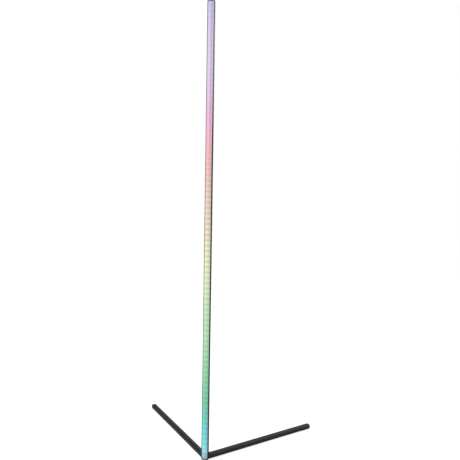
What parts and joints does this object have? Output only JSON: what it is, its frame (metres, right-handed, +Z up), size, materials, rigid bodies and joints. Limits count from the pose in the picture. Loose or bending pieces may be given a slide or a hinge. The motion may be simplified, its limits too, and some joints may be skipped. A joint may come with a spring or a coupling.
{
  "type": "corner floor lamp",
  "caption": "Slim lit pole with an opal front standing in the point of a low V-shaped base, with a rear button and a low-voltage inlet.",
  "frame": {"origin": "on the floor, under the axis of the pole", "axes": "+Z up along the pole; -Y is where the lit face looks, into the corner of the room; the legs run back at 45 degrees to +Y, the right one towards +X"},
  "size_m": [0.6148, 0.315, 1.42],
  "materials": {
    "black_anodised": "satin black anodised extrusion",
    "opal_diffuser": "opal acrylic, lit from behind",
    "strip_film": "white flexible circuit",
    "led_package": "white package with clear window",
    "adhesive_tape": "double-sided tape",
    "black_moulding": "fine-textured black moulding",
    "black_screw": "black oxide",
    "black_casting": "black powder coat on die-cast zinc",
    "black_coated_steel": "fine matt black powder coat",
    "pad_rubber": "matt foam rubber",
    "inlet_moulding": "glossy black moulding",
    "contact_brass": "plated",
    "red_insulation": "wire insulation",
    "white_insulation": "wire insulation",
    "board_green": "solder mask",
    "chip_black": "moulded package",
    "plunger_moulding": "moulded",
    "button_moulding": "satin dark grey moulding"
  },
  "bodies": {
    "lamp": {"pole_channel": "black_anodised", "diffuser": "opal_diffuser", "led_strip": "strip_film", "led_packages": "led_package", "strip_tape": "adhesive_tape", "top_cap": "black_moulding", "top_cap_screws": "black_screw", "corner_base": "black_casting", "left_leg": "black_coated_steel", "right_leg": "black_coated_steel", "left_end_plug": "black_moulding", "right_end_plug": "black_moulding", "leg_screws": "black_screw", "pole_screws": "black_screw", "corner_pad": "pad_rubber", "left_pad": "pad_rubber", "right_pad": "pad_rubber", "inlet_socket": "inlet_moulding", "inlet_contacts": "contact_brass", "supply_wires": "red_insulation", "controller_board": "board_green", "controller_chips": "chip_black", "board_foam": "adhesive_tape", "strip_wires": "white_insulation", "switch_body": "chip_black"},
    "button": {"push_button": "button_moulding", "switch_plunger": "plunger_moulding"}
  },
  "joints": [
    {"name": "button_press", "type": "slide", "parent": "lamp", "child": "button", "axis": [0, -1, 0], "range_m": [0, 0.0006], "stiffness_N_per_m": 1500, "springref_m": -0.0002}
  ]
}
